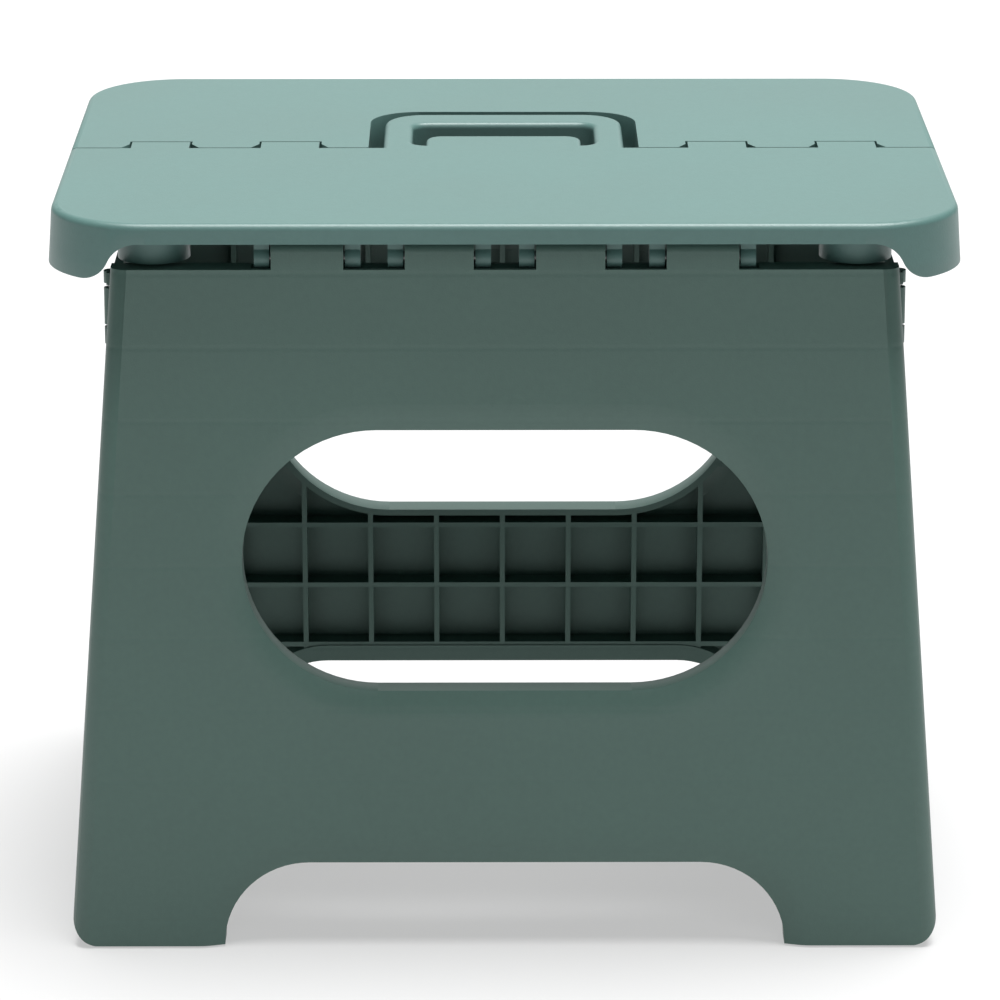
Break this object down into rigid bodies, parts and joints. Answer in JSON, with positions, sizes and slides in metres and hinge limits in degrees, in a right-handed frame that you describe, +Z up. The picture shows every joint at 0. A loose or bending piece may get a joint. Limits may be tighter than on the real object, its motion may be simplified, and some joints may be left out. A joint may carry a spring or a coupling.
{
  "type": "folding step stool",
  "caption": "Folding plastic step stool: hinged seat halves with a carrying handle, two windowed leg panels and side gussets that fold inwards.",
  "frame": {"origin": "on the floor, under the middle of the seat", "axes": "+Z up, +X along the seat's long side, +Y from the front leg to the rear leg"},
  "size_m": [0.3228, 0.241, 0.27],
  "materials": {
    "seat_plastic": "satin moulded polypropylene",
    "leg_plastic": "satin moulded polypropylene",
    "gusset_plastic": "satin moulded polypropylene",
    "pin_steel": "drawn steel rod",
    "pad_rubber": "matte rubber"
  },
  "bodies": {
    "leg_front": {"leg_front": "leg_plastic", "leg_hinge_pin_front_1": "pin_steel", "leg_hinge_pin_front_2": "pin_steel", "leg_hinge_pin_front_3": "pin_steel", "leg_hinge_pin_front_4": "pin_steel", "gusset_pins_left_front": "pin_steel", "foot_pad_left_front": "pad_rubber", "gusset_pins_right_front": "pin_steel", "foot_pad_right_front": "pad_rubber"},
    "seat_front": {"seat_front": "seat_plastic"},
    "seat_rear": {"seat_rear": "seat_plastic", "seat_hinge_pin_left": "pin_steel", "seat_hinge_pin_right": "pin_steel"},
    "leg_rear": {"leg_rear": "leg_plastic", "leg_hinge_pin_rear_1": "pin_steel", "leg_hinge_pin_rear_2": "pin_steel", "leg_hinge_pin_rear_3": "pin_steel", "leg_hinge_pin_rear_4": "pin_steel", "gusset_pins_left_rear": "pin_steel", "foot_pad_left_rear": "pad_rubber", "gusset_pins_right_rear": "pin_steel", "foot_pad_right_rear": "pad_rubber"},
    "gusset_left_front": {"gusset_left_front": "gusset_plastic"},
    "gusset_right_front": {"gusset_right_front": "gusset_plastic"},
    "gusset_left_rear": {"gusset_left_rear": "gusset_plastic", "gusset_middle_pin_left": "pin_steel"},
    "gusset_right_rear": {"gusset_right_rear": "gusset_plastic", "gusset_middle_pin_right": "pin_steel"}
  },
  "joints": [
    {"name": "seat_front_fold", "type": "hinge", "parent": "leg_front", "child": "seat_front", "pos_m": [0, -0.10415, 0.2545], "axis": [1, 0, 0], "range_deg": [0, 80]},
    {"name": "seat_centre_fold", "type": "hinge", "parent": "seat_front", "child": "seat_rear", "pos_m": [0, 0, 0.252], "axis": [-1, 0, 0], "range_deg": [0, 163.28]},
    {"name": "seat_rear_fold", "type": "hinge", "parent": "seat_rear", "child": "leg_rear", "pos_m": [0, 0.10415, 0.2545], "axis": [1, 0, 0], "range_deg": [0, 80.05]},
    {"name": "gusset_left_front_fold", "type": "hinge", "parent": "leg_front", "child": "gusset_left_front", "pos_m": [-0.1384, -0.09665, 0.25422], "axis": [0, -0.0367, -0.9993], "range_deg": [0, 84.76]},
    {"name": "gusset_right_front_fold", "type": "hinge", "parent": "leg_front", "child": "gusset_right_front", "pos_m": [0.1384, -0.09665, 0.25422], "axis": [0, 0.0367, 0.9993], "range_deg": [0, 84.76]},
    {"name": "gusset_left_rear_fold", "type": "hinge", "parent": "leg_rear", "child": "gusset_left_rear", "pos_m": [-0.1384, 0.09665, 0.25422], "axis": [0, -0.0367, 0.9993], "range_deg": [0, 84.76]},
    {"name": "gusset_right_rear_fold", "type": "hinge", "parent": "leg_rear", "child": "gusset_right_rear", "pos_m": [0.1384, 0.09665, 0.25422], "axis": [0, 0.0367, -0.9993], "range_deg": [0, 84.76]}
  ],
  "couplings": [
    {"joint": "seat_centre_fold", "follows": "seat_front_fold", "ratio": 2.0404},
    {"joint": "seat_rear_fold", "follows": "seat_front_fold", "ratio": 1},
    {"joint": "gusset_left_front_fold", "follows": "seat_front_fold", "ratio": 1.0589},
    {"joint": "gusset_left_rear_fold", "follows": "seat_front_fold", "ratio": 1.0589},
    {"joint": "gusset_right_front_fold", "follows": "seat_front_fold", "ratio": 1.0589},
    {"joint": "gusset_right_rear_fold", "follows": "seat_front_fold", "ratio": 1.0589}
  ]
}
